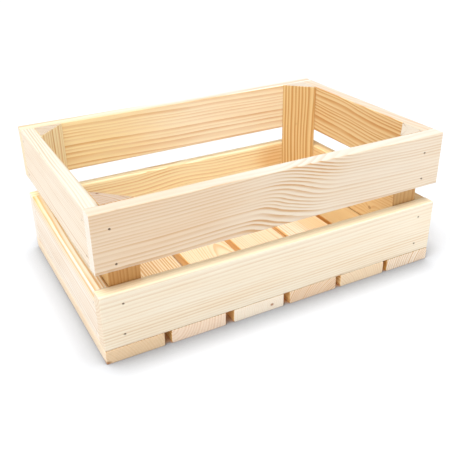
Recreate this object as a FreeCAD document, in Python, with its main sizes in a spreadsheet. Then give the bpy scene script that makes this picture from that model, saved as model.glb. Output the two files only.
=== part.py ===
"""Wooden apple crate: nailed pine laths on four triangular corner posts.

Frame: +X along the crate's length, +Y towards its back, +Z up, millimetres.
The origin is the centre of the footprint, on the surface that the crate stands on.
"""

import FreeCAD, Part
import math
import os
import Sketcher

# ---- driving dimensions (mm), kept in the sheet under these aliases ----

SIZES = (
    ("crate_length", 400),
    ("crate_depth", 264),
    ("lath_width", 60.5),
    ("lath_thickness", 15),
    ("hand_gap", 23),
    ("edge_radius", 1.2),
    ("end_break", 0.4),
    ("post_leg", 32),
    ("post_tip", 1),
    ("nail_length", 34),
    ("nail_point", 2.5),
    ("nail_shank", 1.3),
    ("nail_head", 1.7),
    ("nail_head_thickness", 0.7),
    ("nail_set", 0.8),
    ("nail_inset", 21),
    ("nail_margin", 12.5),
    ("gap_one", 7.5),
    ("gap_two", 9.5),
    ("gap_three", 8),
    ("gap_four", 6.5),
    ("gap_five", 5.5),
)

# Gaps between neighbouring bottom boards, from left to right.
BOARD_GAPS = ("gap_one", "gap_two", "gap_three", "gap_four", "gap_five")

# How far each nail was struck from its nominal place, as (along, across) the lath:
# near end low, near end high, far end low, far end high. Nails that enter the same
# post from its two sides are kept at different heights, so that they pass each other.
WANDER = {
    "front_upper": ((-0.9, -5.4), (-3.7, -5.0), (3.0, -1.7), (3.0, -7.0)),
    "front_lower": ((0.1, 1.1), (1.4, -0.4), (1.0, -1.0), (-0.5, -2.3)),
    "back_upper": ((-1.0, -2.5), (1.2, -2.0), (0.6, -0.5), (-1.8, -4.0)),
    "back_lower": ((0.8, -1.5), (-1.4, -3.5), (-0.9, 0.5), (1.5, -1.5)),
    "left_upper": ((0.6, -4.5), (-0.8, 0.0), (0.0, -1.8), (0.5, -1.0)),
    "left_lower": ((-0.6, -3.0), (0.9, -5.0), (0.6, -2.1), (-0.8, -3.4)),
    "right_upper": ((0.4, -5.0), (-0.9, -1.5), (0.9, 1.5), (-0.4, -5.5)),
    "right_lower": ((-0.8, 2.5), (0.5, 0.5), (0.3, 3.0), (0.9, 1.0)),
    "board_1": ((0.4, 1.2), (-0.9, -1.6), (0.8, 0.6), (-0.3, 1.4)),
    "board_2": ((-0.7, -1.0), (0.6, 2.1), (0.2, -1.8), (1.1, 0.3)),
    "board_3": ((0.9, 2.0), (-0.2, 0.8), (-1.1, 1.3), (0.5, -2.2)),
    "board_4": ((0.1, -1.4), (1.0, -0.6), (0.7, 1.9), (-0.8, 1.0)),
    "board_5": ((-1.0, 0.7), (0.3, -1.9), (-0.5, -0.9), (0.9, 1.6)),
    "board_6": ((0.6, -2.1), (-0.6, 1.1), (1.0, 0.4), (-0.1, -1.3)),
}

# The widest that two cut volumes may differ and still count as equal (mm3).
VOLUME_SLACK = 0.5

X_AXIS = FreeCAD.Vector(1, 0, 0)
Z_AXIS = FreeCAD.Vector(0, 0, 1)

doc = FreeCAD.newDocument("AppleCrate")


def make_sheet():
    """Put the driving dimensions in a spreadsheet."""
    table = doc.addObject("Spreadsheet::Sheet", "Sizes")
    for row, (alias, value) in enumerate(SIZES, 1):
        table.set(f"A{row}", alias)
        table.set(f"B{row}", str(value))
        table.setAlias(f"B{row}", alias)
    doc.recompute()
    return table


sheet = make_sheet()


# ---- small helpers for sketches and features ----

def origin_plane(body, role):
    """The body's own origin plane that has this role."""
    for feature in body.Origin.OriginFeatures:
        if feature.Role == role:
            return feature
    raise ValueError(f"{body.Name} has no {role}")


def outline(body, role, corners):
    """A closed polygon sketch on an origin plane of the body.

    Each corner is a pair of expressions in the sheet's aliases. A zero pins the
    corner to the sketch's axis instead of giving it a distance.
    """
    sketch = body.newObject("Sketcher::SketchObject", f"{body.Name}_outline")
    sketch.AttachmentSupport = (origin_plane(body, role), "")
    sketch.MapMode = "FlatFace"
    points = [FreeCAD.Vector(sheet_value(x), sheet_value(y), 0) for x, y in corners]
    for start, end in zip(points, points[1:] + points[:1]):
        sketch.addGeometry(Part.LineSegment(start, end), False)
    for line in range(len(points)):
        follower = (line + 1) % len(points)
        sketch.addConstraint(Sketcher.Constraint("Coincident", line, 2, follower, 1))
    for line, (x, y) in enumerate(corners):
        pin(sketch, line, "DistanceX", x, -2)
        pin(sketch, line, "DistanceY", y, -1)
    return sketch


def sheet_value(expression):
    """The present value, in mm, of an expression in the sheet's aliases."""
    return float(sheet.evalExpression(in_sheet(expression)))


def in_sheet(expression):
    """The same expression, with each alias written as a reference to the sheet."""
    words = []
    for word in expression.split(" "):
        bare = word.lstrip("-")
        sign = word[:len(word) - len(bare)]
        known = any(bare == alias for alias, _ in SIZES)
        words.append(f"{sign}Sizes.{bare}" if known else word)
    return " ".join(words)


def pin(sketch, line, kind, expression, axis):
    """Hold the first point of a line at a distance, or on an axis where that is zero."""
    if expression == "0":
        sketch.addConstraint(Sketcher.Constraint("PointOnObject", line, 1, axis))
        return
    value = sheet_value(expression)
    index = sketch.addConstraint(Sketcher.Constraint(kind, -1, 1, line, 1, value))
    sketch.setExpression(f"Constraints[{index}]", in_sheet(expression))


def edges_along(shape, direction):
    """Names of the straight edges that run along a direction."""
    names = []
    for number, edge in enumerate(shape.Edges, 1):
        tangent = edge.tangentAt(edge.FirstParameter)
        if tangent.cross(direction).Length < 1e-6:
            names.append(f"Edge{number}")
    return names


def faces_across(shape, direction):
    """Names of the flat faces that lie square to a direction."""
    names = []
    for number, face in enumerate(shape.Faces, 1):
        if abs(abs(face.normalAt(0, 0).dot(direction)) - 1) < 1e-6:
            names.append(f"Face{number}")
    return names


def place(item, base, rotation):
    """Turn an object, and bind its base point to expressions in the sheet's aliases."""
    item.Placement = FreeCAD.Placement(FreeCAD.Vector(), rotation)
    for axis, expression in zip("xyz", base):
        item.setExpression(f"Placement.Base.{axis}", in_sheet(expression))


# ---- wood blanks ----

def lath(name, length):
    """A planed lath, on edge: X along it, Y into its thickness, Z across its width.

    Its outer face is at Y zero, and its long edges are eased.
    """
    body = doc.addObject("PartDesign::Body", f"{name}_blank")
    section = outline(body, "XZ_Plane", (
        ("0", "0"),
        (length, "0"),
        (length, "lath_width"),
        ("0", "lath_width"),
    ))
    pad = body.newObject("PartDesign::Pad", f"{name}_pad")
    pad.Profile = section
    pad.setExpression("Length", "Sizes.lath_thickness")
    pad.Reversed = True
    doc.recompute()

    easing = body.newObject("PartDesign::Fillet", f"{name}_easing")
    easing.Base = (pad, edges_along(pad.Shape, X_AXIS))
    easing.setExpression("Radius", "Sizes.edge_radius")
    doc.recompute()

    trim = body.newObject("PartDesign::Chamfer", f"{name}_trim")
    trim.Base = (easing, faces_across(easing.Shape, X_AXIS))
    trim.setExpression("Size", "Sizes.end_break")
    doc.recompute()
    return body


def post(name):
    """A corner post: a right triangle with its right angle at the body's origin."""
    body = doc.addObject("PartDesign::Body", f"{name}_blank")
    section = outline(body, "XY_Plane", (
        ("0", "0"),
        ("post_leg", "0"),
        ("post_leg", "post_tip"),
        ("post_tip", "post_leg"),
        ("0", "post_leg"),
    ))
    pad = body.newObject("PartDesign::Pad", f"{name}_pad")
    pad.Profile = section
    pad.setExpression("Length", in_sheet("lath_width + lath_width + hand_gap"))
    doc.recompute()

    trim = body.newObject("PartDesign::Chamfer", f"{name}_trim")
    trim.Base = (pad, faces_across(pad.Shape, Z_AXIS))
    trim.setExpression("Size", "Sizes.end_break")
    doc.recompute()
    return body


# ---- nails, and the holes that they leave ----

def revolved(name, corners):
    """A solid of revolution about +Y, from (radius, depth) corners."""
    body = doc.addObject("PartDesign::Body", name)
    profile = outline(body, "XY_Plane", corners)
    turn = body.newObject("PartDesign::Revolution", f"{name}_turn")
    turn.Profile = profile
    turn.ReferenceAxis = (profile, ["V_Axis"])
    turn.Angle = 360
    doc.recompute()
    return body


def nail_body():
    """One wire nail, its head set below the wood's outer face at Y zero."""
    return revolved("nail", (
        ("0", "nail_set"),
        ("nail_head / 2", "nail_set"),
        ("nail_head / 2", "nail_set + nail_head_thickness"),
        ("nail_shank / 2", "nail_set + nail_head_thickness"),
        ("nail_shank / 2", "nail_set + nail_length - nail_point"),
        ("0", "nail_set + nail_length"),
    ))


def bore_body():
    """The space that a nail takes, with the small recess that its head leaves above it."""
    return revolved("bore", (
        ("0", "0"),
        ("nail_head / 2", "0"),
        ("nail_head / 2", "nail_set + nail_head_thickness"),
        ("nail_shank / 2", "nail_set + nail_head_thickness"),
        ("nail_shank / 2", "nail_set + nail_length - nail_point"),
        ("0", "nail_set + nail_length"),
    ))


def struck(name, master, ends, placement):
    """Four copies of a nail or bore, two at each of the given places along one lath."""
    copies = []
    heights = ("nail_margin", "lath_width - nail_margin")
    places = [(end, sign, height) for end, sign in zip(ends, (1, -1)) for height in heights]
    for number, (end, sign, height) in enumerate(places, 1):
        along, across = WANDER[name][number - 1]
        copy = doc.addObject("App::Link", f"{name}_{master.Name}_{number}")
        copy.LinkedObject = master
        copy.LinkTransform = False
        copy.setExpression("Placement.Base.x", f"{in_sheet(end)} + {sign * along}")
        copy.setExpression("Placement.Base.z", f"{in_sheet(height)} + {across}")
        copies.append(copy)
    group = doc.addObject("Part::Compound", f"{name}_{master.Name}s")
    group.Links = copies
    base, rotation = placement
    place(group, base, rotation)
    return group


def drilled(name, blank, bores):
    """The finished piece: the blank, less the holes of the nails that enter it."""
    holes = doc.addObject("Part::Compound", f"{name}_holes")
    holes.Links = bores
    piece = doc.addObject("Part::Cut", name)
    piece.Base = blank
    piece.Tool = holes
    piece.Label = name
    return piece


# ---- where the laths and posts stand ----

UPPER = "lath_thickness + lath_width + hand_gap"
LOWER = "lath_thickness"
LEFT = "-crate_length / 2"
RIGHT = "crate_length / 2"
FRONT = "-crate_depth / 2"
BACK = "crate_depth / 2"
SHORT = "crate_depth - lath_thickness - lath_thickness"

# Where the nails enter along a long slat, a short slat and a bottom board. Each pair
# on a short slat is as far from the crate's corner as the pair on the long one.
LONG_NAILS = ("nail_inset", "crate_length - nail_inset")
SHORT_NAILS = ("nail_inset - lath_thickness", "crate_depth - lath_thickness - nail_inset")
BOARD_NAILS = ("lath_thickness / 2", "crate_depth - lath_thickness / 2")


def turned(degrees):
    """A turn about the crate's vertical axis."""
    return FreeCAD.Rotation(Z_AXIS, degrees)


# Side of the crate: (base X, base Y, turn, length, nail places). The lath's own Y
# points into the crate, so its outer face looks out.
SIDES = {
    "front": (LEFT, FRONT, 0, "crate_length", LONG_NAILS),
    "back": (RIGHT, BACK, 180, "crate_length", LONG_NAILS),
    "left": (LEFT, f"{BACK} - lath_thickness", -90, SHORT, SHORT_NAILS),
    "right": (RIGHT, f"{FRONT} + lath_thickness", 90, SHORT, SHORT_NAILS),
}

# Corner: (base X, base Y, turn). The right angle sits in the corner of the slats.
CORNERS = {
    "front_left": (f"{LEFT} + lath_thickness", f"{FRONT} + lath_thickness", 0),
    "front_right": (f"{RIGHT} - lath_thickness", f"{FRONT} + lath_thickness", 90),
    "back_right": (f"{RIGHT} - lath_thickness", f"{BACK} - lath_thickness", 180),
    "back_left": (f"{LEFT} + lath_thickness", f"{BACK} - lath_thickness", -90),
}


def make_slats(nail, bore):
    """Two rows of slats on each side; gives the pieces, nails and bores by name."""
    pieces, nails, bores = [], [], {}
    for side, (base_x, base_y, turn, length, ends) in SIDES.items():
        for row, base_z in (("upper", UPPER), ("lower", LOWER)):
            name = f"{side}_{row}"
            placement = ((base_x, base_y, base_z), turned(turn))
            blank = lath(name, length)
            place(blank, *placement)
            nails.append(struck(name, nail, ends, placement))
            bores[name] = struck(name, bore, ends, placement)
            pieces.append((f"{name}_slat", blank, name))
    return pieces, nails, bores


def make_boards(nail, bore):
    """The bottom boards, laid flat from front to back, outer face down."""
    pieces, nails, bores = [], [], {}
    flat = FreeCAD.Rotation(FreeCAD.Vector(1, 1, 1), 120)
    base_x = LEFT
    for number in range(1, len(BOARD_GAPS) + 2):
        name = f"board_{number}"
        placement = ((base_x, FRONT, "0"), flat)
        blank = lath(name, "crate_depth")
        place(blank, *placement)
        nails.append(struck(name, nail, BOARD_NAILS, placement))
        bores[name] = struck(name, bore, BOARD_NAILS, placement)
        pieces.append((f"bottom_{name}", blank, name))
        if number <= len(BOARD_GAPS):
            base_x = f"{base_x} + lath_width + {BOARD_GAPS[number - 1]}"
    return pieces, nails, bores


def build():
    """Build every sub-part; gives them as document objects with their Labels set."""
    nail = nail_body()
    bore = bore_body()
    slats, slat_nails, slat_bores = make_slats(nail, bore)
    boards, board_nails, board_bores = make_boards(nail, bore)

    parts = []
    for piece_name, blank, name in slats:
        entering = [slat_bores[name]]
        if name in ("front_lower", "back_lower"):
            entering.extend(board_bores.values())
        parts.append(drilled(piece_name, blank, entering))
    for piece_name, blank, name in boards:
        parts.append(drilled(piece_name, blank, [board_bores[name]]))
    for corner, (base_x, base_y, turn) in CORNERS.items():
        blank = post(corner)
        place(blank, (base_x, base_y, "lath_thickness"), turned(turn))
        entering = [slat_bores[f"{side}_{row}"]
                    for side in corner.split("_") for row in ("upper", "lower")]
        parts.append(drilled(f"{corner}_post", blank, entering))
    for group in slat_nails + board_nails:
        group.Label = group.Name
        parts.append(group)
    doc.recompute()
    return parts


# ---- checks, and the STEP files ----

def check_document():
    """Stop on any object that did not recompute."""
    for item in doc.Objects:
        for word in ("Invalid", "Error"):
            if word in item.State:
                raise RuntimeError(f"{item.Label} is {word}: {item.State}")


def check_parts(parts):
    """Stop on a null or invalid shape, or on a nail that misses its hole."""
    for item in parts:
        if item.Shape.isNull() or not item.Shape.isValid():
            raise RuntimeError(f"{item.Label} has no valid shape")
    nail = doc.getObject("nail").Shape.Volume
    head_radius = sheet.get("nail_head") / 2
    recess = math.pi * head_radius ** 2 * sheet.get("nail_set")
    removed = 0
    for item in parts:
        if item.TypeId == "Part::Cut":
            removed = removed + item.Base.Shape.Volume - item.Shape.Volume
    nails = sum(len(item.Shape.Solids) for item in parts if item.TypeId == "Part::Compound")
    expected = nails * (nail + recess)
    if abs(removed - expected) > VOLUME_SLACK:
        raise RuntimeError(f"holes take {removed:.2f} mm3, nails and recesses {expected:.2f}")
    print(f"{nails} nails, {len(parts)} sub-parts, holes {removed:.1f} mm3")


def write_parts(parts):
    """Write each sub-part to its own STEP file."""
    os.makedirs("parts", exist_ok=True)
    for item in parts:
        item.Shape.exportStep(f"parts/{item.Label}.step")
        box = item.Shape.BoundBox
        print(f"{item.Label}: {box.XLength:.2f} x {box.YLength:.2f} x {box.ZLength:.2f} mm")


crate = build()
check_document()
check_parts(crate)
write_parts(crate)
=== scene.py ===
"""Looks of a slatted pine apple crate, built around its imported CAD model.

Blender units are metres. Shapes and grain are worked out in millimetres, in each
piece's own frame: X along its grain, Y into its thickness, Z across its width.
"""

import math
from dataclasses import dataclass

import bpy
import numpy as np
from mathutils import Matrix, Vector


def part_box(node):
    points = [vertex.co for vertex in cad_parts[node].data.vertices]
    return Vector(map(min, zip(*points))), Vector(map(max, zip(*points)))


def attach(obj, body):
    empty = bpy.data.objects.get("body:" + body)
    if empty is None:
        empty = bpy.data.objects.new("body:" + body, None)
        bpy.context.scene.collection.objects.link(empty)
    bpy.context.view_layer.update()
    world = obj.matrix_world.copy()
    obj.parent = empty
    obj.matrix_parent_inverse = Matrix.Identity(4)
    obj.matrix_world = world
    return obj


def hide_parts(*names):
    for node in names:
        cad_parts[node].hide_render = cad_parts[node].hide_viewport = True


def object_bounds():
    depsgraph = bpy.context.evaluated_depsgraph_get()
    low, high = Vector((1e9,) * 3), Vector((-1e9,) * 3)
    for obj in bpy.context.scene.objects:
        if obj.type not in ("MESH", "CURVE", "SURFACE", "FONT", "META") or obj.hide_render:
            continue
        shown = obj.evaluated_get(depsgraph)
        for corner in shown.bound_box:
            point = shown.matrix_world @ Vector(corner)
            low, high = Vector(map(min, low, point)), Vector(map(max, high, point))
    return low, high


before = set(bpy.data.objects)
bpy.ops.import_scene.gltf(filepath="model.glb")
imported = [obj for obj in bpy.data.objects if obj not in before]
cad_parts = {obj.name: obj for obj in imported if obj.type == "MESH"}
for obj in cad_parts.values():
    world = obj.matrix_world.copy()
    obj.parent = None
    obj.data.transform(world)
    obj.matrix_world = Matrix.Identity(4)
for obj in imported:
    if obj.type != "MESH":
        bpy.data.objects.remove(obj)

CAD_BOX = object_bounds()
MM = 0.001

# ---- camera: the viewing angle of a product picture, from the left and above ----

CAMERA_PLACE = Vector((-0.3233, -0.6152, 0.4027))
CAMERA_AZIMUTH = math.radians(-27.61)
CAMERA_ELEVATION = math.radians(27.72)
CAMERA_ROLL = math.radians(-1.14)
CAMERA_LENS = 52.0
CAMERA_SENSOR = 36.0


def make_camera():
    """A camera that looks from its azimuth and elevation, rolled a little."""
    flat = math.cos(CAMERA_ELEVATION)
    back = Vector((math.sin(CAMERA_AZIMUTH) * flat, -math.cos(CAMERA_AZIMUTH) * flat,
                   math.sin(CAMERA_ELEVATION)))
    level = Vector((0, 0, 1)).cross(back).normalized()
    rise = back.cross(level)
    right = level * math.cos(CAMERA_ROLL) + rise * math.sin(CAMERA_ROLL)
    up = rise * math.cos(CAMERA_ROLL) - level * math.sin(CAMERA_ROLL)
    data = bpy.data.cameras.new("camera")
    data.sensor_width = CAMERA_SENSOR
    data.lens = CAMERA_LENS
    camera = bpy.data.objects.new("camera", data)
    bpy.context.scene.collection.objects.link(camera)
    turn = Matrix((right, up, back)).transposed()
    camera.matrix_world = Matrix.Translation(CAMERA_PLACE) @ turn.to_4x4()
    bpy.context.scene.camera = camera


# ---- noise for shapes ----

NOISE_CELLS = 32


def noise_field(seed):
    """A smooth random field over millimetre points, from -1 to 1, the same each run."""
    table = np.random.default_rng(seed).random((NOISE_CELLS,) * 3) * 2 - 1

    def field(points, scale):
        cells = points / np.array(scale)
        low = np.floor(cells).astype(int)
        part = cells - low
        part = part * part * (3 - 2 * part)
        total = 0
        for corner in np.ndindex(2, 2, 2):
            index = (low + corner) % NOISE_CELLS
            weight = np.where(corner, part, 1 - part).prod(axis=1)
            total = total + weight * table[index[:, 0], index[:, 1], index[:, 2]]
        return total

    return field


# ---- a straight stick of any section, as a fine mesh ----

ARC_STEPS = 4
CAP_RINGS = (0.985, 0.95, 0.9, 0.83, 0.75, 0.66, 0.56, 0.46, 0.36, 0.24)


def spread(low, high, pitch, centres=(), offsets=()):
    """Evenly spaced places from low to high, with more of them around each centre."""
    count = max(2, math.ceil((high - low) / pitch) + 1)
    places = list(np.linspace(low, high, count))
    for centre in centres:
        near = [centre + offset for offset in offsets]
        places = [p for p in places if abs(p - centre) > offsets[-1] + pitch / 3]
        places.extend(p for p in near if low < p < high)
    places.extend((low, high))
    return np.array(sorted(set(round(p, 5) for p in places)))


def rounded_outline(corners, radii, pitch, centres=None, offsets=()):
    """Points and outward directions round a polygon with arcs at its corners.

    centres maps the number of a side to places along Z where its points crowd.
    """
    points, outward = [], []
    corners = [np.array(c, float) for c in corners]
    count = len(corners)
    ends = []
    for i, corner in enumerate(corners):
        before = corners[i - 1] - corner
        after = corners[(i + 1) % count] - corner
        before = before / np.linalg.norm(before)
        after = after / np.linalg.norm(after)
        half = math.acos(np.clip(before @ after, -1, 1)) / 2
        reach = radii[i] / math.tan(half)
        middle = corner + (before + after) / np.linalg.norm(before + after) \
            * radii[i] / math.sin(half)
        ends.append((corner + before * reach, middle, corner + after * reach))
    for i in range(count):
        start, middle, finish = ends[i]
        first = math.atan2(start[1] - middle[1], start[0] - middle[0])
        last = math.atan2(finish[1] - middle[1], finish[0] - middle[0])
        if last < first:
            last += 2 * math.pi
        for angle in np.linspace(first, last, ARC_STEPS + 1):
            way = np.array((math.cos(angle), math.sin(angle)))
            points.append(middle + way * radii[i])
            outward.append(way)
        following = ends[(i + 1) % count][0]
        along = following - finish
        span = np.linalg.norm(along)
        along = along / span
        way = np.array((along[1], -along[0]))
        crowd = []
        if centres and i in centres:
            crowd = [(c - finish[1]) / along[1] for c in centres[i]]
        for place in spread(0, span, pitch, crowd, offsets)[1:-1]:
            points.append(finish + along * place)
            outward.append(way)
    return np.array(points), np.array(outward)


class Stick:
    """Points, outward directions and faces of a prism along X, centred on X = 0."""

    def __init__(self, length, outline, outward, stations, end_round):
        self.length = length
        self.ring = len(outline)
        self.rows, self.ways, self.faces = [], [], []
        for x in stations:
            self.add_row(x, outline, outward, end_round)
        for row in range(len(stations) - 1):
            self.faces.extend(self.band(row * self.ring, (row + 1) * self.ring))
        middle = outline.mean(axis=0)
        self.add_cap(-1, 0, middle)
        self.add_cap(1, len(stations) - 1, middle)
        self.points = np.concatenate(self.rows)
        self.outward = np.concatenate(self.ways)
        self.bruise = np.zeros(len(self.points))

    def add_row(self, x, outline, outward, end_round):
        """One ring of points, drawn in where the end is rounded."""
        depth = min(end_round, self.length / 2 - abs(x))
        inset = end_round - math.sqrt(max(0, end_round ** 2 - (end_round - depth) ** 2))
        tilt = 1 - depth / end_round
        self.rows.append(np.column_stack((np.full(self.ring, x), outline - outward * inset)))
        along = np.full(self.ring, math.copysign(tilt, x))
        way = np.column_stack((along, outward * (1 - tilt)))
        self.ways.append(way / np.linalg.norm(way, axis=1)[:, None])

    def add_cap(self, side, row, middle):
        """Close the end at -X or +X with rings that shrink to its middle."""
        edge = self.rows[row]
        x = edge[0, 0]
        facing = (float(side), 0.0, 0.0)
        outer = row * self.ring
        total = sum(len(points) for points in self.rows)
        for scale in CAP_RINGS:
            spot = middle + (edge[:, 1:] - middle) * scale
            self.rows.append(np.column_stack((edge[:, 0], spot)))
            self.ways.append(np.tile(facing, (self.ring, 1)))
            pair = (outer, total) if side > 0 else (total, outer)
            self.faces.extend(self.band(*pair))
            outer = total
            total = total + self.ring
        self.rows.append(np.array(((x, *middle),)))
        self.ways.append(np.array((facing,)))
        for j in range(self.ring):
            pair = (outer + j, outer + (j + 1) % self.ring)
            self.faces.append((*pair, total) if side > 0 else (*pair[::-1], total))

    def band(self, first, second):
        """Faces between two rings of points, the second further along +X."""
        step = [(j + 1) % self.ring for j in range(self.ring)]
        return [(first + j, first + step[j], second + step[j], second + j)
                for j in range(self.ring)]

    def push(self, amount):
        """Move every point inwards by its own amount."""
        self.points = self.points - self.outward * np.asarray(amount)[:, None]


def make_object(name, stick, place, material):
    """A smooth-shaded object from a stick, in metres, at its place in the crate."""
    mesh = bpy.data.meshes.new(name)
    mesh.from_pydata((stick.points * MM).tolist(), [], stick.faces)
    mesh.polygons.foreach_set("use_smooth", [True] * len(mesh.polygons))
    bruise = mesh.attributes.new("bruise", "FLOAT", "POINT")
    bruise.data.foreach_set("value", stick.bruise.astype(np.float32))
    mesh.materials.append(material)
    mesh.update()
    piece = bpy.data.objects.new(name, mesh)
    bpy.context.scene.collection.objects.link(piece)
    piece.matrix_world = place
    return piece


# ---- shape of a worked piece of pine ----

LATH_PITCH = 1.3
STATION_PITCH = 2.2
END_MARGIN = 1.2
END_STEPS = 4
EDGE_RADIUS = 1.3
END_ROUND = 0.45

# Wear: (cells of the noise along x, y and z, depth).
PLANED_GRAIN = ((90, 2.1, 2.1), 0.028)
RIPPLE = ((45, 18, 18), 0.05)
SAW_MARKS = ((6, 2.6, 2.6), 0.03)
PLANED_OFF = 0.06
RIPPLE_SHIFT = 40
SAW_SHIFT = 80
DENT_SIZE = (0.7, 2.0)
DENT_STRETCH = (1.2, 3.0)
DENT_DEPTH = (0.12, 0.38)
DENT_BRUISE = 0.9
EDGE_SLANT = 0.3

CRATER_LINES = (-2.2, -1.5, -1.1, -0.9, -0.7, -0.35, 0.0, 0.35, 0.7, 0.9, 1.1, 1.5, 2.2)
CRATER_RADIUS = 0.88
CRATER_DEPTH = 0.86
CRATER_WALL = 0.2
CRATER_STRETCH = 1.12
CRATER_LEAN = 0.12
LEAN_TURN = 5.1
LIP_HEIGHT = 0.06
LIP_PLACE = 0.35
LIP_WIDTH = 0.25
FACE_SLACK = 0.4
BRUISE_REACH = 0.45


def end_stations(length, pitch, centres=()):
    """Places along a stick: close together at its rounded ends and at its nails."""
    half = length / 2
    steps = [END_ROUND * (1 - math.cos(math.pi / 2 * k / (END_STEPS - 1))) for k in range(END_STEPS)]
    inner = spread(-half + END_MARGIN, half - END_MARGIN, pitch, centres, CRATER_LINES)
    ends = [half - s for s in steps]
    return np.array(sorted([-e for e in ends] + list(inner) + ends))


def weather(stick, seed, bow=0.2, dents=7):
    """Give a stick the small faults of machined softwood: ripple, worn edges, dents."""
    random = np.random.default_rng(seed)
    field = noise_field(seed)
    grain = field(stick.points, PLANED_GRAIN[0]) * PLANED_GRAIN[1]
    ripple = field(stick.points + RIPPLE_SHIFT, RIPPLE[0]) * RIPPLE[1]
    on_end = np.abs(stick.outward[:, 0])
    saw = field(stick.points + SAW_SHIFT, SAW_MARKS[0]) * SAW_MARKS[1] * on_end
    stick.push(PLANED_OFF + grain * (1 - on_end) + ripple + saw)

    half = stick.length / 2
    arch = 1 - (stick.points[:, 0] / half) ** 2
    stick.points[:, 1] += arch * bow * random.uniform(-1, 1)
    stick.points[:, 2] += arch * bow * random.uniform(-1, 1)

    edge_points = stick.points[np.abs(stick.outward[:, 1:]).min(axis=1) > EDGE_SLANT]
    for _ in range(dents):
        centre = edge_points[random.integers(len(edge_points))]
        size = random.uniform(*DENT_SIZE) * np.array((random.uniform(*DENT_STRETCH), 1, 1))
        away = (((stick.points - centre) / size) ** 2).sum(axis=1)
        depth = random.uniform(*DENT_DEPTH) * np.exp(-away)
        stick.push(depth)
        stick.bruise = np.maximum(stick.bruise, depth * DENT_BRUISE)


def sink_nails(stick, centres, face):
    """Press a small torn crater in the outer face, at Y = face, round each nail."""
    inwards = math.copysign(1, -face)
    for number, (x, z) in enumerate(centres):
        near = np.abs(stick.points[:, 1] - face) < FACE_SLACK
        lean = CRATER_LEAN * math.sin(LEAN_TURN * number + x)
        across = stick.points[:, 2] - z
        along = (stick.points[:, 0] - x - lean * across) / CRATER_STRETCH
        away = np.hypot(along, across)
        wall = np.clip((CRATER_RADIUS + CRATER_WALL - away) / CRATER_WALL, 0, 1)
        lip = LIP_HEIGHT * np.exp(-((away - CRATER_RADIUS - LIP_PLACE) / LIP_WIDTH) ** 2)
        stick.points[:, 1] += near * inwards * (wall * CRATER_DEPTH - lip)
        ring = np.clip(1 - (away - CRATER_RADIUS) / BRUISE_REACH, 0, 1)
        stick.bruise = np.maximum(stick.bruise, near * ring)


# ---- shader nodes under short names ----

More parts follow.
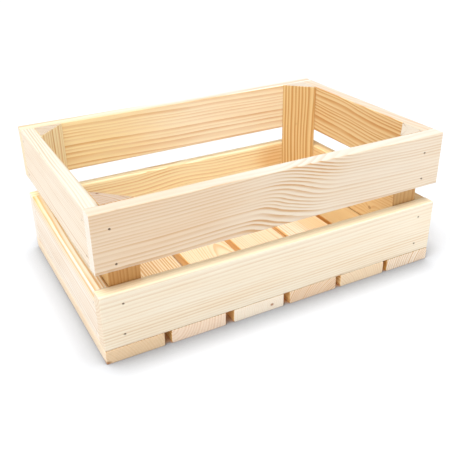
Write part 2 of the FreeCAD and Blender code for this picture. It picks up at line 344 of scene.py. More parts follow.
class Graph:
    """A material, and short names for the shader nodes that it is built from."""

    def __init__(self, name):
        self.material = bpy.data.materials.new(name)
        self.material.use_nodes = True
        self.tree = self.material.node_tree
        self.tree.nodes.clear()

    def node(self, kind, **settings):
        made = self.tree.nodes.new(kind)
        for key, value in settings.items():
            setattr(made, key, value)
        return made

    def feed(self, socket, value):
        """Link a socket to another one, or set its constant."""
        if isinstance(value, bpy.types.NodeSocket):
            self.tree.links.new(value, socket)
        else:
            socket.default_value = value

    def math(self, operation, *values):
        made = self.node("ShaderNodeMath", operation=operation)
        for socket, value in zip(made.inputs, values):
            self.feed(socket, value)
        return made.outputs[0]

    def add(self, first, *others):
        for other in others:
            first = self.math("ADD", first, other)
        return first

    def times(self, first, *others):
        for other in others:
            first = self.math("MULTIPLY", first, other)
        return first

    def minus(self, first, second):
        return self.math("SUBTRACT", first, second)

    def over(self, first, second):
        return self.math("DIVIDE", first, second)

    def length(self, first, second):
        """The length of two sides put together at a right angle."""
        return self.math("SQRT", self.add(self.times(first, first), self.times(second, second)))

    def bell(self, value, centre, half):
        """One at the centre, and less to both sides of it."""
        off = self.over(self.minus(value, centre), half)
        return self.math("EXPONENT", self.times(off, off, -1.0))

    def vector(self, operation, *values):
        made = self.node("ShaderNodeVectorMath", operation=operation)
        for socket, value in zip(made.inputs, values):
            self.feed(socket, value)
        return made.outputs["Value"] if operation == "LENGTH" else made.outputs[0]

    def split(self, vector):
        """The X, Y and Z of a vector."""
        made = self.node("ShaderNodeSeparateXYZ")
        self.feed(made.inputs[0], vector)
        return made.outputs

    def join(self, *values):
        """A vector from its X, and its Y where that is given."""
        made = self.node("ShaderNodeCombineXYZ")
        for socket, value in zip(made.inputs, values):
            self.feed(socket, value)
        return made.outputs[0]

    def smooth(self, value, low, high, to_low=0.0, to_high=1.0):
        """Ease from one value to another as the input goes from low to high."""
        made = self.node("ShaderNodeMapRange", interpolation_type="SMOOTHSTEP")
        for socket, item in zip(made.inputs, (value, low, high, to_low, to_high)):
            self.feed(socket, item)
        return made.outputs[0]

    def mix(self, factor, first, second, blend="MIX"):
        """The first colour, with the second laid over it by the factor."""
        made = self.node("ShaderNodeMix", data_type="RGBA", blend_type=blend)
        self.feed(made.inputs["Factor"], factor)
        self.feed(made.inputs["A"], first)
        self.feed(made.inputs["B"], second)
        return made.outputs["Result"]

    def noise(self, place, scale, detail=2.0, rough=0.5, offset=(0, 0, 0)):
        """Noise over millimetre places, its scale given as features per millimetre."""
        moved = self.vector("MULTIPLY", self.vector("ADD", place, offset), scale)
        made = self.node("ShaderNodeTexNoise", noise_dimensions="3D")
        self.feed(made.inputs["Vector"], moved)
        made.inputs["Scale"].default_value = 1.0
        made.inputs["Detail"].default_value = detail
        made.inputs["Roughness"].default_value = rough
        return made.outputs["Fac"]

    def object_place(self):
        """Texture coordinates, and the place in the piece's own frame in mm."""
        where = self.node("ShaderNodeTexCoord")
        return where, self.vector("MULTIPLY", where.outputs["Object"], (1 / MM, 1 / MM, 1 / MM))

    def surface(self, base, roughness, metallic=0.0, specular=0.5, bump=None):
        """Close the graph with a surface. bump: (height, strength, distance in metres)."""
        shader = self.node("ShaderNodeBsdfPrincipled")
        self.feed(shader.inputs["Base Color"], base)
        self.feed(shader.inputs["Roughness"], roughness)
        self.feed(shader.inputs["Metallic"], metallic)
        self.feed(shader.inputs["Specular IOR Level"], specular)
        if bump:
            height, strength, distance = bump
            relief = self.node("ShaderNodeBump")
            relief.inputs["Strength"].default_value = strength
            relief.inputs["Distance"].default_value = distance
            self.feed(relief.inputs["Height"], height)
            self.feed(shader.inputs["Normal"], relief.outputs[0])
        output = self.node("ShaderNodeOutputMaterial")
        self.feed(output.inputs[0], shader.outputs[0])


def colour(r, g, b):
    """A screen colour, 0 to 255, as the linear colour that shaders take."""
    def linear(value):
        part = value / 255
        return part / 12.92 if part <= 0.04045 else ((part + 0.055) / 1.055) ** 2.4
    return (linear(r), linear(g), linear(b), 1.0)


def tinted(base, tint):
    """A colour multiplied by a tint."""
    return tuple(a * b for a, b in zip(base, tint))


# ---- pine, as solid wood: rings about a pith, cut by every face ----

LATE_TINT = (0.76, 0.53, 0.32, 1.0)
END_TINT = (0.97, 0.94, 0.92, 1.0)
TONE_TINT = (0.97, 0.90, 0.82, 1.0)
YELLOW_STAIN = colour(240, 190, 92)
BRUISE_TINT = colour(92, 66, 44)
KNOT_TINT = colour(150, 96, 56)
FLECK_TINT = colour(178, 122, 76)

# Noise in the wood: (features per mm along x, y and z, detail, roughness). "uneven" is
# read by distance from the pith, and "rays" by direction and distance from it.
PATTERNS = {
    "drift": ((0.006, 0.022, 0.022), 1.0, 0.4),
    "sway": ((0.009, 0.018, 0.018), 1.0, 0.4),
    "ragged": ((0.02, 0.25, 0.25), 2.0, 0.5),
    "patchy": ((0.012, 0.09, 0.09), 1.0, 0.5),
    "tone": ((0.008, 0.05, 0.05), 2.0, 0.5),
    "fibre": ((0.022, 1.5, 1.5), 3.0, 0.6),
    "fine": ((0.07, 5.5, 5.5), 2.0, 0.6),
    "fleck": ((0.11, 3.1, 3.1), 1.0, 0.5),
    "pores": ((0.4, 2.6, 2.6), 2.0, 0.7),
    "uneven": ((0.09, 1, 1), 1.0, 0.5),
    "rays": ((1, 1, 1), 2.0, 0.6),
}
# Where in the noise a piece lies: (step for each seed, start) along x, y and z.
SEED_SHIFTS = ((37.1, 11), (17.3, 5), (29.7, 3))

# How far a normal turns, from none of a kind of face to all of it.
END_FACING = (0.55, 0.9)
EDGE_FACING = (0.6, 0.95)
OUTER_FACING = (-0.6, -0.95)

# Grain: reaches of its wander per unit of warp, and the stretches of a swirl, in mm.
DRIFT_REACH = 2.4
SWAY_REACH = 3.2
LOW_HALF = (14, -8)
FLARE_RISE = (-18, 22)
FLARE_FALL = (95, 40)

# Knots, in radii.
KNOT_SQUASH = 0.8
KNOT_RIM = (1.25, 0.55)
KNOT_PUSH = 1.5
KNOT_PUSH_FALL = -0.16

# Rings, in years: how uneven they are, and where in a year its dark line rises and stops.
UNEVEN_REACH = 2.2
RAGGED_REACH = 0.22
LATE_RISE = (0.25, 0.88)
LATE_STOP = (1.0, 0.93)
WEAKEST_YEAR = 0.45
PATCHY_RIM = (0.25, 0.75)
PATCHY_GAIN = (0.7, 1.3)

# Colour of planed faces.
TONE_RIM = (0.35, 0.75)
TONE_STRENGTH = 0.6
FIBRE_SHADE = 0.12
FINE_SHADE = 0.10
DARKEST_SHADE = 0.89
FLECK_RIM = (0.70, 0.79)
FLECK_LEAST = 0.10
FLECK_LATE = 0.22
BAND_LEAST = 0.35
BAND_LATE = 0.5

# Colour of sawn ends, and of stains, patches of painted shade and bruises on any face.
RAYS_ROUND = 60.0
RAYS_OUT = 0.12
TORN_RAYS = 0.14
TORN_PORES = 0.34
TORN_LEAST = 0.76
END_CHANGE = (-1, 1)
STAIN_AND_SHADE_RIM = (1.5, 0.5)
STAIN_AND_SHADE_RAGGED = 0.5
BRUISE_STRENGTH = 0.7

# Roughness, and what each pattern adds to it and to the relief.
PINE_ROUGH = 0.66
LATE_SMOOTHER = 0.12
FIBRE_ROUGHER = 0.08
END_ROUGHER = 0.14
FIBRE_RELIEF = 0.5
LATE_RELIEF = 0.35
FINE_RELIEF = 0.25
PORE_RELIEF = 1.2
PINE_BUMP = (0.35, 0.00012)


@dataclass
class Cut:
    """How one piece was cut from the tree, and its colours.

    pale: colour of its springwood. end: the same on its sawn ends, and far_end: on the
    end at +X where that differs; where they differ, the end towards the left is paler and
    greyer, as painted light. contrast, end_contrast: strength of its lines.
    edge: tint of its narrow edges, partly the wood's own colour and partly painted light and
    shade on the slat tops and the sides of the bottom boards; edge_contrast: how much of its
    lines they keep.
    outer: tint of its outer face, which paints light and shade on it: painted shade on the
    back slats, painted light on the front left post.
    pith: (y, z) of the tree's centre line, and lean: how far it moves per mm of x.
    ring: mean width of a year's growth. warp: how much the grain wanders.
    swirl: (x, slant, slant through the thickness, flare, steps), where the grain steps
    aside round a hidden branch. A step is (start, end, drop, only in the lower half).
    bold: (z, half width, gain) of lines that stand out.
    knots: (x, z, radius, darkness). bands: (z, half width, strength) of yellow stain.
    Stains, and patches of painted shade: ((x, y, z), (reach x, y, z), strength, colour).
    """

    pale: tuple
    pith: tuple
    ring: float
    seed: int
    end: tuple = None
    far_end: tuple = None
    contrast: float = 0.5
    end_contrast: float = 0.5
    edge: tuple = (1, 1, 1)
    edge_contrast: float = 1.0
    outer: tuple = (1, 1, 1)
    lean: tuple = (0, 0)
    warp: float = 1.6
    swirl: tuple = None
    bold: tuple = None
    knots: tuple = ()
    bands: tuple = ()
    stains_and_shade: tuple = ()


class Pine(Graph):
    """Raw planed pine for one piece, from the way it was cut."""

    def __init__(self, name, cut):
        super().__init__(name)
        self.cut = cut
        self.shift = [cut.seed * step + start for step, start in SEED_SHIFTS]
        where, self.place = self.object_place()
        self.x, self.y, self.z = self.split(self.place)
        x_facing, y_facing, z_facing = self.split(where.outputs["Normal"])
        self.on_end = self.smooth(self.math("ABSOLUTE", x_facing), *END_FACING)
        self.on_edge = self.smooth(self.math("ABSOLUTE", z_facing), *EDGE_FACING)
        self.on_outer = self.smooth(y_facing, *OUTER_FACING)
        self.ragged = self.pattern("ragged")
        self.fibre = self.pattern("fibre")
        self.fine = self.pattern("fine")
        self.pores = self.pattern("pores")
        self.follow_grain()
        self.find_knots()
        self.count_rings()
        wood = self.mix(self.on_end, self.planed_colour(), self.sawn_colour())
        self.finish(self.marked(wood))

    def pattern(self, name, order=(0, 1, 2), place=None):
        """One of the noise patterns, at this piece's own place in it."""
        scale, detail, rough = PATTERNS[name]
        shift = [self.shift[i] for i in order]
        return self.noise(place or self.place, scale, detail, rough, shift)

    def follow_grain(self):
        """Move the grain with its slow wander, the tree's lean and a hidden branch."""
        cut = self.cut
        drift = self.minus(self.pattern("drift"), 0.5)
        sway = self.minus(self.pattern("sway", (1, 2, 0)), 0.5)
        self.grain_y = self.add(self.y, self.times(drift, cut.warp * DRIFT_REACH),
                                self.times(self.x, cut.lean[0]))
        self.grain_z = self.add(self.z, self.times(sway, cut.warp * SWAY_REACH),
                                self.times(self.x, cut.lean[1]))
        self.flare = 1.0
        if cut.swirl:
            self.swirl(*cut.swirl)

    def swirl(self, centre, slant, through, strength, steps):
        """Step the grain aside round a hidden branch, and widen its lines there."""
        along = self.minus(self.x, self.times(self.z, slant))
        along = self.minus(self.add(along, self.times(self.y, through)), centre)
        for first, last, drop, low in steps:
            step = self.smooth(along, first, last, 0.0, drop)
            if low:
                step = self.times(step, self.smooth(self.z, *LOW_HALF))
            self.grain_z = self.add(self.grain_z, step)
        near = self.times(self.smooth(along, *FLARE_RISE), self.smooth(along, *FLARE_FALL))
        self.flare = self.add(self.times(near, strength - 1), 1.0)

    def find_knots(self):
        """The dark spot of each knot, and how far it pushes the rings aside."""
        self.spots, self.pushes = [], []
        for x, z, radius, darkness in self.cut.knots:
            across = self.over(self.minus(self.x, x), radius)
            up = self.over(self.minus(self.z, z), radius * KNOT_SQUASH)
            away = self.add(self.times(across, across), self.times(up, up))
            self.spots.append(self.smooth(self.math("SQRT", away), *KNOT_RIM, 0.0, darkness))
            push = self.math("EXPONENT", self.times(away, KNOT_PUSH_FALL))
            self.pushes.append(self.times(push, radius * KNOT_PUSH))

    def count_rings(self):
        """Distance from the pith, the year that it falls in, and that year's dark line."""
        self.pith_y = self.minus(self.grain_y, self.cut.pith[0])
        self.pith_z = self.minus(self.grain_z, self.cut.pith[1])
        self.radius = self.add(self.length(self.pith_y, self.pith_z), *self.pushes)
        uneven = self.pattern("uneven", place=self.join(self.radius))
        year = self.add(self.over(self.radius, self.cut.ring), self.times(uneven, UNEVEN_REACH),
                        self.times(self.ragged, RAGGED_REACH))
        part = self.math("FRACT", year)
        self.late = self.times(self.smooth(part, *LATE_RISE), self.smooth(part, *LATE_STOP))
        dice = self.node("ShaderNodeTexWhiteNoise", noise_dimensions="1D")
        self.feed(dice.inputs["W"], self.math("FLOOR", year))
        self.weight = self.add(self.times(dice.outputs["Value"], 1 - WEAKEST_YEAR), WEAKEST_YEAR)

    def line(self):
        """Strength of the dark lines on the planed faces."""
        cut = self.cut
        line = self.times(self.late, self.weight, cut.contrast)
        patchy = self.pattern("patchy", (1, 0, 2))
        line = self.times(line, self.smooth(patchy, *PATCHY_RIM, *PATCHY_GAIN), self.flare)
        line = self.times(line, self.smooth(self.on_edge, 0, 1, 1.0, cut.edge_contrast))
        if cut.bold:
            z, half, gain = cut.bold
            line = self.times(line, self.add(self.times(self.bell(self.z, z, half), gain), 1.0))
        return line

    def planed_colour(self):
        """Colour of the planed faces, with fibres and resin canals along the grain, and with painted
        light and shade on its edges and outer face.
        """
        cut = self.cut
        early = colour(*cut.pale)
        wood = self.mix(self.line(), early, tinted(early, LATE_TINT))
        tone = self.smooth(self.pattern("tone", (2, 0, 1)), *TONE_RIM, 0.0, TONE_STRENGTH)
        wood = self.mix(tone, wood, TONE_TINT, "MULTIPLY")
        shade = self.add(self.times(self.fibre, FIBRE_SHADE), self.times(self.fine, FINE_SHADE),
                         DARKEST_SHADE)
        wood = self.mix(1.0, wood, shade, "MULTIPLY")
        fleck = self.smooth(self.pattern("fleck"), *FLECK_RIM)
        speck = self.times(fleck, self.add(self.times(self.late, FLECK_LATE), FLECK_LEAST))
        wood = self.mix(speck, wood, FLECK_TINT)
        for z, half, strength in cut.bands:
            by_year = self.add(self.times(self.late, BAND_LATE), BAND_LEAST)
            band = self.times(self.bell(self.grain_z, z, half), by_year, strength)
            wood = self.mix(band, wood, YELLOW_STAIN)
        for spot in self.spots:
            wood = self.mix(spot, wood, KNOT_TINT)
        # The edge tint: partly the wood's own colour, partly painted light and shade on the narrow
        # edges.
        wood = self.mix(self.on_edge, wood, (*cut.edge, 1.0), "MULTIPLY")
        # The outer tint: painted light and shade on the outer face.
        return self.mix(self.on_outer, wood, (*cut.outer, 1.0), "MULTIPLY")

    def sawn_colour(self):
        """Colour of the sawn ends: duller, torn, with rays that run out from the pith."""
        cut = self.cut
        turn = self.times(self.math("ARCTAN2", self.pith_z, self.pith_y), RAYS_ROUND)
        polar = self.join(turn, self.times(self.radius, RAYS_OUT))
        rays = self.pattern("rays", place=polar)
        torn = self.add(self.times(rays, TORN_RAYS), self.times(self.pores, TORN_PORES),
                        TORN_LEAST)
        sawn = colour(*cut.end) if cut.end else tinted(colour(*cut.pale), END_TINT)
        # Where the ends differ, the end towards the left is paler and greyer: painted light.
        if cut.far_end:
            sawn = self.mix(self.smooth(self.x, *END_CHANGE), sawn, colour(*cut.far_end))
        late_sawn = self.mix(1.0, sawn, LATE_TINT, "MULTIPLY")
        sawn = self.mix(self.times(self.late, self.weight, cut.end_contrast), sawn, late_sawn)
        return self.mix(1.0, sawn, torn, "MULTIPLY")

    def marked(self, wood):
        """The same colour with its stains, its patches of painted shade, and its bruises."""
        # Some patches are real stains, and some are painted shade, as marked for each piece.
        for centre, reach, strength, tint in self.cut.stains_and_shade:
            off = self.vector("DIVIDE", self.vector("SUBTRACT", self.place, centre), reach)
            away = self.add(self.vector("LENGTH", off), self.times(self.ragged, STAIN_AND_SHADE_RAGGED))
            near = self.smooth(away, *STAIN_AND_SHADE_RIM, 0.0, strength)
            wood = self.mix(near, wood, colour(*tint), "MULTIPLY")
        bruise = self.node("ShaderNodeAttribute", attribute_name="bruise")
        return self.mix(self.times(bruise.outputs["Fac"], BRUISE_STRENGTH), wood, BRUISE_TINT)

    def finish(self, wood):
        """The surface: smoother on the dark lines, and rough on the sawn ends."""
        rough = self.minus(PINE_ROUGH, self.times(self.late, LATE_SMOOTHER))
        rough = self.add(rough, self.times(self.fibre, FIBRE_ROUGHER),
                         self.times(self.on_end, END_ROUGHER))
        height = self.add(self.times(self.fibre, FIBRE_RELIEF),
                          self.times(self.late, LATE_RELIEF),
                          self.times(self.fine, FINE_RELIEF),
                          self.times(self.pores, self.on_end, PORE_RELIEF))
        self.surface(wood, rough, bump=(height, *PINE_BUMP))


# ---- how each piece was cut from the tree ----

BRANCH = (-28, 0.75, 0.0, 2.5, ((-115, -8, -3.0, False), (-8, 92, 15.0, False),
                                (30, 190, 5.0, False), (0, 36, 3.0, True)))
HUMP = (10, 0.4, 1.0, 1.3, ((-60, -5, -4.0, False), (-5, 60, 4.5, False)))
BROWN = (170, 118, 72)
# Tint of the bottom boards' sawn sides: warmer, as sawn wood is, and lighter, as painted light
# falling into the gaps between the boards.
SAWN_AND_LIT_SIDES = (1.35, 1.15, 0.75)
# Painted shade: a darker tint for the outer faces of the back slats.
IN_SHADE = (0.86, 0.83, 0.82)

PINE = {
    # The patch over its left half is painted shade: darker and less yellow towards the left, where
    # less light falls.
    "front_upper_slat": Cut(
        pale=(219, 205, 185), pith=(28, -47), ring=2.8, seed=1, end=(229, 231, 229),
        far_end=(206, 190, 166), contrast=0.62, edge=(0.9, 0.99, 1.1), edge_contrast=0.3,
        warp=0.7, swirl=BRANCH, stains_and_shade=(((-150, 0, 0), (150, 40, 80), 1.0, (253, 243, 232)),)),
    "front_lower_slat": Cut(
        pale=(229, 218, 197), pith=(26, 48), ring=3.0, seed=2, end=(221, 205, 182),
        far_end=(206, 188, 162), contrast=0.36, edge=(1.12, 1.08, 0.97),
        lean=(0, -0.012), warp=0.7, bold=(-14, 13, 1.0)),
    # The patch at its left end is painted shade from the left wall, inside the crate.
    "back_upper_slat": Cut(
        pale=(253, 241, 213), pith=(-40, -64), ring=4.2, seed=3, end=(206, 190, 166),
        far_end=(226, 218, 208), contrast=0.75, edge=(0.84, 0.78, 0.97), outer=IN_SHADE,
        lean=(0, -0.012), warp=1.2, stains_and_shade=(((150, 8, 0), (150, 40, 80), 1.0, (255, 246, 218)),)),
    # The patch at its right end, beside the back right post, is painted shadow of the right wall.
    "back_lower_slat": Cut(
        pale=(253, 241, 201), pith=(-34, -52), ring=3.4, seed=4, end=(204, 186, 158),
        far_end=(226, 218, 208), contrast=0.8, outer=IN_SHADE, warp=1.8, swirl=HUMP,
        stains_and_shade=(((-142, 8, 0), (34, 12, 60), 0.6, (232, 196, 152)),)),
    "left_upper_slat": Cut(
        pale=(226, 214, 196), pith=(-70, -60), ring=2.1, seed=5, end=(234, 232, 224),
        contrast=0.7, edge=(0.84, 0.93, 0.97), lean=(0, 0.01)),
    "left_lower_slat": Cut(
        pale=(228, 220, 208), pith=(45, 52), ring=3.4, seed=6, contrast=0.95,
        edge=(1.08, 1.05, 0.95), edge_contrast=1.25, lean=(0, 0.02), bands=((25, 5.0, 0.75),)),
    "right_upper_slat": Cut(
        pale=(228, 202, 154), pith=(-50, -75), ring=3.9, seed=7, end=(225, 210, 190),
        contrast=1.5, edge=(0.8, 0.88, 1.28), edge_contrast=0.35, lean=(0, -0.05), warp=2.4),
    "right_lower_slat": Cut(
        pale=(232, 204, 154), pith=(30, -40), ring=3.7, seed=8, contrast=0.65,
        lean=(0, 0.02), knots=((-42, -12, 3.0, 0.55),)),
    # Its springwood colour is darkened as painted shade for the niche between the slats where it is
    # seen, and its outer face is lightened as painted light from the left.
    "front_left_post": Cut(
        pale=(202, 153, 90), pith=(-30, -22), ring=3.3, seed=9, end=(184, 164, 144),
        contrast=0.9, end_contrast=0.8, outer=(1.3, 1.6, 2.1),
        stains_and_shade=(((70, 6, 24), (6, 1.6, 1.6), 1.0, BROWN),)),
    "front_right_post": Cut(
        pale=(198, 159, 104), pith=(52, -18), ring=3.0, seed=21, end=(196, 186, 170),
        contrast=0.9, stains_and_shade=(((70, 3, 2.5), (6, 1.3, 1.3), 0.8, BROWN),)),
    "back_right_post": Cut(
        pale=(226, 199, 145), pith=(10, 60), ring=3.5, seed=11, end=(198, 189, 176),
        contrast=1.7, warp=2.2, bold=(8.5, 1.3, 1.5)),
    "back_left_post": Cut(
        pale=(248, 236, 196), pith=(70, -30), ring=5.0, seed=12, end=(192, 176, 156),
        contrast=0.9, warp=0.8),
    "bottom_board_1": Cut(
        pale=(222, 188, 150), pith=(-30, -60), ring=2.6, seed=13, end=(220, 192, 156),
        contrast=1.1, end_contrast=0.25, edge=(1.12, 1.38, 1.75), edge_contrast=0.6,
        stains_and_shade=(((-132, -6, -29), (8, 2.5, 4.5), 0.8, BROWN),)),
    "bottom_board_2": Cut(
        pale=(212, 193, 160), pith=(9, -30), ring=3.4, seed=14, end=(234, 211, 188),
        contrast=2.2, end_contrast=0.45, edge=SAWN_AND_LIT_SIDES),
    "bottom_board_3": Cut(
        pale=(221, 200, 167), pith=(-14, 16), ring=2.3, seed=15, end=(236, 223, 204),
        contrast=0.7, end_contrast=0.25, edge=SAWN_AND_LIT_SIDES, lean=(0.1, 0),
        stains_and_shade=(((-132, -0.9, 15.7), (5, 2.0, 2.5), 0.9, BROWN),)),
    "bottom_board_4": Cut(
        pale=(219, 199, 169), pith=(-35, 45), ring=2.6, seed=16, end=(229, 206, 180),
        contrast=0.6, end_contrast=1.3, edge=SAWN_AND_LIT_SIDES),
    "bottom_board_5": Cut(
        pale=(221, 205, 181), pith=(-27, -58), ring=2.8, seed=17, end=(229, 206, 175),
        contrast=0.9, end_contrast=0.4, edge=SAWN_AND_LIT_SIDES,
        stains_and_shade=(((-20, 8, 18), (100, 20, 24), 0.6, (240, 212, 160)),)),
    "bottom_board_6": Cut(
        pale=(190, 163, 117), pith=(-25, 60), ring=3.2, seed=18, end=(231, 216, 197),
        contrast=0.9, end_contrast=1.2, edge=SAWN_AND_LIT_SIDES),
}

# ---- the pieces of wood, each in place of its CAD node ----

SIDE_TURN = {"front": 0, "back": 180, "left": -90, "right": 90}
CORNER_TURN = {"front_left": 0, "front_right": 90, "back_right": 180, "back_left": -90}
OUTER_SIDE = 3
POST_TIP = 1.0
POST_EDGE = 0.7
POST_TIP_EDGE = 0.3


def columns(x_way, y_way, z_way, centre):
    """The place of a piece whose own axes point these ways."""
    turn = Matrix((x_way, y_way, z_way)).transposed().to_4x4()
    return Matrix.Translation(centre) @ turn


def level_ways(degrees):
    """Two level directions at a right angle, turned by this much about Z."""
    angle = math.radians(degrees)
    return (Vector((math.cos(angle), math.sin(angle), 0)),
            Vector((-math.sin(angle), math.cos(angle), 0)))


def nail_centres(node, place):
    """Where the four nails of a node enter a lath: (x, z) in the lath's own mm."""
    inverse = place.inverted()
    points = np.array([inverse @ v.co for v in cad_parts[node].data.vertices]) / MM
    centres = []
    for far in (False, True):
        end = points[(points[:, 0] > 0) == far]
        middle = (end[:, 2].min() + end[:, 2].max()) / 2
        for high in (False, True):
            nail = end[(end[:, 2] > middle) == high]
            centres.append(((nail[:, 0].min() + nail[:, 0].max()) / 2,
                            (nail[:, 2].min() + nail[:, 2].max()) / 2))
    return centres


def replace_node(node, stick, place):
    """Put a worked stick of pine in the place of a CAD node."""
    material = Pine(f"{node}_pine", PINE[node]).material
    piece = make_object(f"{node}_wood", stick, place, material)
    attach(piece, "root")
    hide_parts(node)


def lath(node, nails, place):
    """Replace a CAD lath with a detailed one of the same size, in the same place."""
    low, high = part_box(node)
    thickness, width, length = sorted(size / MM for size in high - low)
    centres = nail_centres(nails, place)
    y, z = thickness / 2, width / 2
    corners = ((-y, -z), (y, -z), (y, z), (-y, z))
    outline, outward = rounded_outline(corners, (EDGE_RADIUS,) * 4, LATH_PITCH,
                                       {OUTER_SIDE: [c[1] for c in centres]}, CRATER_LINES)
    stations = end_stations(length, STATION_PITCH, [c[0] for c in centres])
    stick = Stick(length, outline, outward, stations, END_ROUND)
    weather(stick, PINE[node].seed)
    sink_nails(stick, centres, -y)
    replace_node(node, stick, place)


def make_slats():
    """The eight side slats: their outer faces look out of the crate."""
    for side, turn in SIDE_TURN.items():
        x_way, y_way = level_ways(turn)
        for row in ("upper", "lower"):
            node = f"{side}_{row}_slat"
            low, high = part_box(node)
            place = columns(x_way, y_way, Vector((0, 0, 1)), (low + high) / 2)
            lath(node, f"{side}_{row}_nails", place)


def make_boards():
    """The six bottom boards: their outer faces look down."""
    ways = (Vector((0, 1, 0)), Vector((0, 0, 1)), Vector((1, 0, 0)))
    for number in range(1, 7):
        node = f"bottom_board_{number}"
        low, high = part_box(node)
        lath(node, f"board_{number}_nails", columns(*ways, (low + high) / 2))


def make_posts():
    """The four triangular corner posts, upright, with the right angle outwards."""
    for corner, turn in CORNER_TURN.items():
        node = f"{corner}_post"
        low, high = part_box(node)
        size = (high - low) / MM
        leg, height = size.x, size.z
        y_way, z_way = level_ways(turn)
        base = (low + high) / 2 - (y_way + z_way) * leg / 2 * MM
        corners = ((0, 0), (leg, 0), (leg, POST_TIP), (POST_TIP, leg), (0, leg))
        radii = (POST_EDGE,) + (POST_TIP_EDGE,) * 4
        outline, outward = rounded_outline(corners, radii, LATH_PITCH)
        stick = Stick(height, outline, outward, end_stations(height, STATION_PITCH), END_ROUND)
        weather(stick, PINE[node].seed, bow=0.1, dents=4)
        replace_node(node, stick, columns(Vector((0, 0, 1)), y_way, z_way, base))


# ---- nails: the CAD pieces stay, with drawn steel on them ----

STEEL_PALE = colour(112, 92, 74)
STEEL_DARK = colour(70, 50, 36)
STEEL_SPOTS = (1.8, 1.8, 1.8)
STEEL_BRUSHED = (6, 6, 6)
SPOT_RIM = (0.42, 0.66)
BARE_RIM = (0.7, 0.45)
STEEL_ROUGH = 0.34
BRUSHED_ROUGHER = 0.25
STEEL_BUMP = (0.3, 0.00005)


def nail_steel():
    """Drawn steel wire, dulled and lightly spotted."""
    g = Graph("nail_steel")
    place = g.object_place()[1]
    spots = g.noise(place, STEEL_SPOTS, 3.0, 0.6)
    brushed = g.noise(place, STEEL_BRUSHED, 2.0, 0.5)
    steel = g.mix(g.smooth(spots, *SPOT_RIM), STEEL_PALE, STEEL_DARK)
    rough = g.add(g.times(brushed, BRUSHED_ROUGHER), STEEL_ROUGH)
    g.surface(steel, rough, metallic=g.smooth(spots, *BARE_RIM), bump=(brushed, *STEEL_BUMP))
    return g.material


def dress_nails():
    """Give every CAD nail the steel."""
    steel = nail_steel()
    for node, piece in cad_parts.items():
        if node.endswith("_nails"):
            piece.data.materials.clear()
            piece.data.materials.append(steel)


# ---- stage and light ----

FLOOR_SIZE = 14.0
FLOOR_WHITE = (0.635, 0.65, 0.675, 1.0)
FLOOR_ROUGH = 0.8
FLOOR_SHEEN = 0.1

# Painted shade where the floor is near the crate: its reach in metres, and how much light
# is left. Past the crate's ends the painted shade is thinner, and right under the crate a
# warm tint takes over as painted shade.
CONTACT_SAMPLES = 8
CONTACT_REACH = 0.040
CONTACT_POWER = 1.2
CONTACT_LEAST = 0.3
END_BLEND = 0.012
END_THIN = 0.3
UNDER_TINT = (0.75, 0.38, 0.15, 1.0)
UNDER_RIM = (0.32, 0.12)

# Strength of the sky, and the heights of its direction between which it changes.
SKY = 0.64
HORIZON = 1.0
HORIZON_TOP = 0.30
SKY_FOOT = 0.42

KEY_WAY = (-0.28, -0.18, 0.94)
KEY_STRENGTH = 3.4
KEY_SPREAD = math.radians(40)
SOFTBOX_SIZE = 0.55
LEFT_PLACE = (-1.0, 0.0, 0.25)
LEFT_AIM = (-0.2, 0, 0.08)
LEFT_POWER = 0.7
FRONT_PLACE = (0.62, -0.55, 0.25)
FRONT_AIM = (0.15, -0.1, 0.08)
FRONT_POWER = 0.9


def floor_white():
    """Pale floor with painted shade: darker near the crate, less so past its ends, and warm right
    under it.
    """
    g = Graph("floor_white")
    # Painted shade: ambient occlusion darkens the floor's colour near the crate.
    contact = g.node("ShaderNodeAmbientOcclusion", samples=CONTACT_SAMPLES)
    contact.inputs["Distance"].default_value = CONTACT_REACH
    light_left = g.math("POWER", contact.outputs["AO"], CONTACT_POWER)
    light_left = g.math("MAXIMUM", light_left, CONTACT_LEAST)
    where = g.node("ShaderNodeTexCoord")
    from_middle = g.math("ABSOLUTE", g.split(where.outputs["Object"])[0])
    half_crate = CAD_BOX[1][0]
    thin = g.smooth(from_middle, half_crate - END_BLEND, half_crate + END_BLEND, 0.0, END_THIN)
    light_left = g.add(light_left, g.times(g.minus(1.0, light_left), thin))
    white = g.mix(1.0, FLOOR_WHITE, light_left, "MULTIPLY")
    # Painted warm shade right under the crate.
    white = g.mix(g.smooth(contact.outputs["AO"], *UNDER_RIM), white, UNDER_TINT)
    g.surface(white, FLOOR_ROUGH, specular=FLOOR_SHEEN)
    return g.material


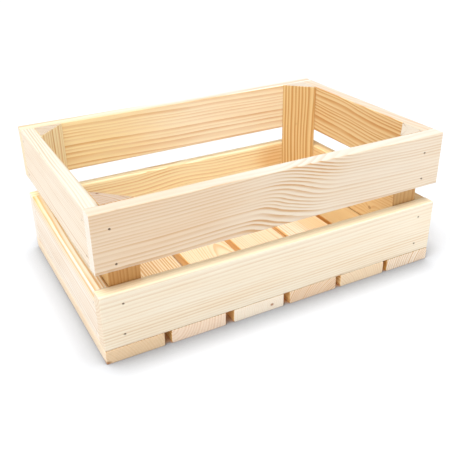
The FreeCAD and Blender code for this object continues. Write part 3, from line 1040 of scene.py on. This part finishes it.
def make_floor():
    """A plain floor at the crate's foot."""
    mesh = bpy.data.meshes.new("floor")
    half = FLOOR_SIZE / 2
    mesh.from_pydata([(-half, -half, 0), (half, -half, 0), (half, half, 0), (-half, half, 0)],
                     [], [(0, 1, 2, 3)])
    mesh.materials.append(floor_white())
    floor = bpy.data.objects.new("floor", mesh)
    bpy.context.scene.collection.objects.link(floor)


def make_world():
    """A white sky, brightest at the horizon."""
    world = bpy.data.worlds.new("studio")
    bpy.context.scene.world = world
    world.use_nodes = True
    nodes, links = world.node_tree.nodes, world.node_tree.links
    background = nodes["Background"]
    background.inputs["Color"].default_value = (1, 1, 1, 1)
    where = nodes.new("ShaderNodeTexCoord")
    split = nodes.new("ShaderNodeSeparateXYZ")
    fade = nodes.new("ShaderNodeMapRange")
    for socket, value in zip(fade.inputs[1:5], (HORIZON_TOP, SKY_FOOT, HORIZON, SKY)):
        socket.default_value = value
    links.new(where.outputs["Generated"], split.inputs[0])
    links.new(split.outputs[2], fade.inputs[0])
    links.new(fade.outputs[0], background.inputs["Strength"])


def light(name, kind, place, target):
    """A light of this kind that faces a point."""
    data = bpy.data.lights.new(name, kind)
    lamp = bpy.data.objects.new(name, data)
    bpy.context.scene.collection.objects.link(lamp)
    lamp.location = place
    way = Vector(target) - Vector(place)
    lamp.rotation_euler = way.to_track_quat("-Z", "Y").to_euler()
    return data


def softbox(name, place, target, power):
    """A square soft light near the crate."""
    data = light(name, "AREA", place, target)
    data.shape = "SQUARE"
    data.size = SOFTBOX_SIZE
    data.energy = power


def make_lights():
    """A wide soft key from above, a low softbox at the left and one at the front right."""
    key = light("key", "SUN", KEY_WAY, (0, 0, 0))
    key.energy = KEY_STRENGTH
    key.angle = KEY_SPREAD
    softbox("left", LEFT_PLACE, LEFT_AIM, LEFT_POWER)
    softbox("front", FRONT_PLACE, FRONT_AIM, FRONT_POWER)


bpy.context.scene.view_settings.view_transform = "Standard"
make_camera()
make_world()
make_lights()
make_floor()
make_slats()
make_boards()
make_posts()
dress_nails()
